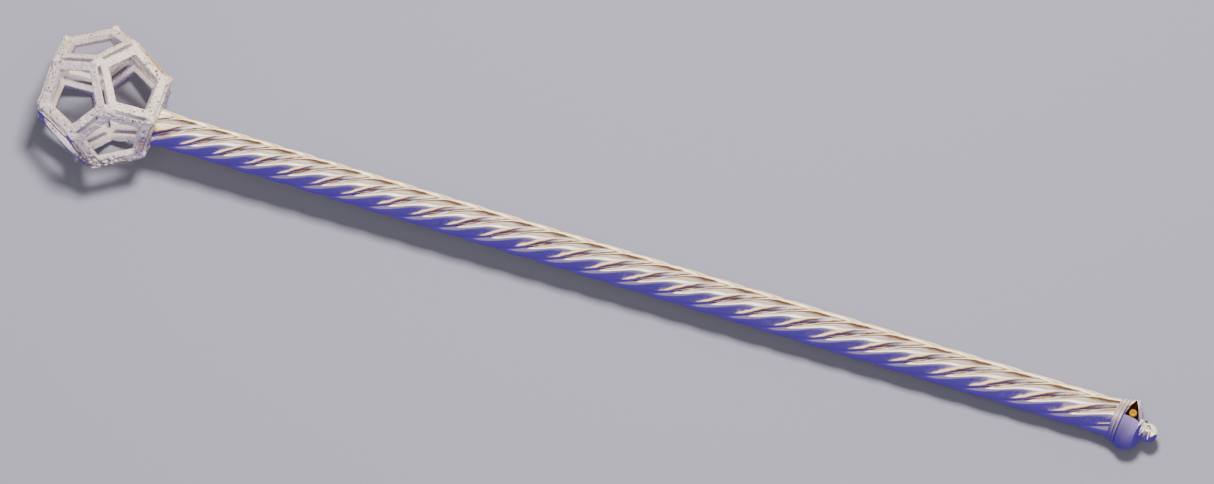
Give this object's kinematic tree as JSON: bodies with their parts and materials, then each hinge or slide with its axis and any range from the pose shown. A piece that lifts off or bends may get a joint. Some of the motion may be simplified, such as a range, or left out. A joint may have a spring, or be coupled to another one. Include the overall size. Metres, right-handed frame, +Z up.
{
  "type": "sceptre",
  "caption": "Silver sceptre lying on its side: openwork pentagon-framed head, long left-hand twisted shaft, banded collar, knob with a gilt rosette and a small end ball.",
  "frame": {"origin": "centre of the base of the sceptre's box as it lies, on the surface that it rests on", "axes": "+X along the shaft from the head towards the foot, +Z up as it lies"},
  "size_m": [0.9574, 0.1186, 0.1112],
  "materials": {
    "silver_matt": "matt, pitted and granulated silver",
    "silver_polished": "polished silver with fine hairlines",
    "gilt": "matt gilding"
  },
  "bodies": {
    "root": {"head": "silver_matt", "shaft": "silver_polished", "foot_finial": "silver_polished", "foot_gilt_rosette": "gilt"}
  },
  "joints": []
}
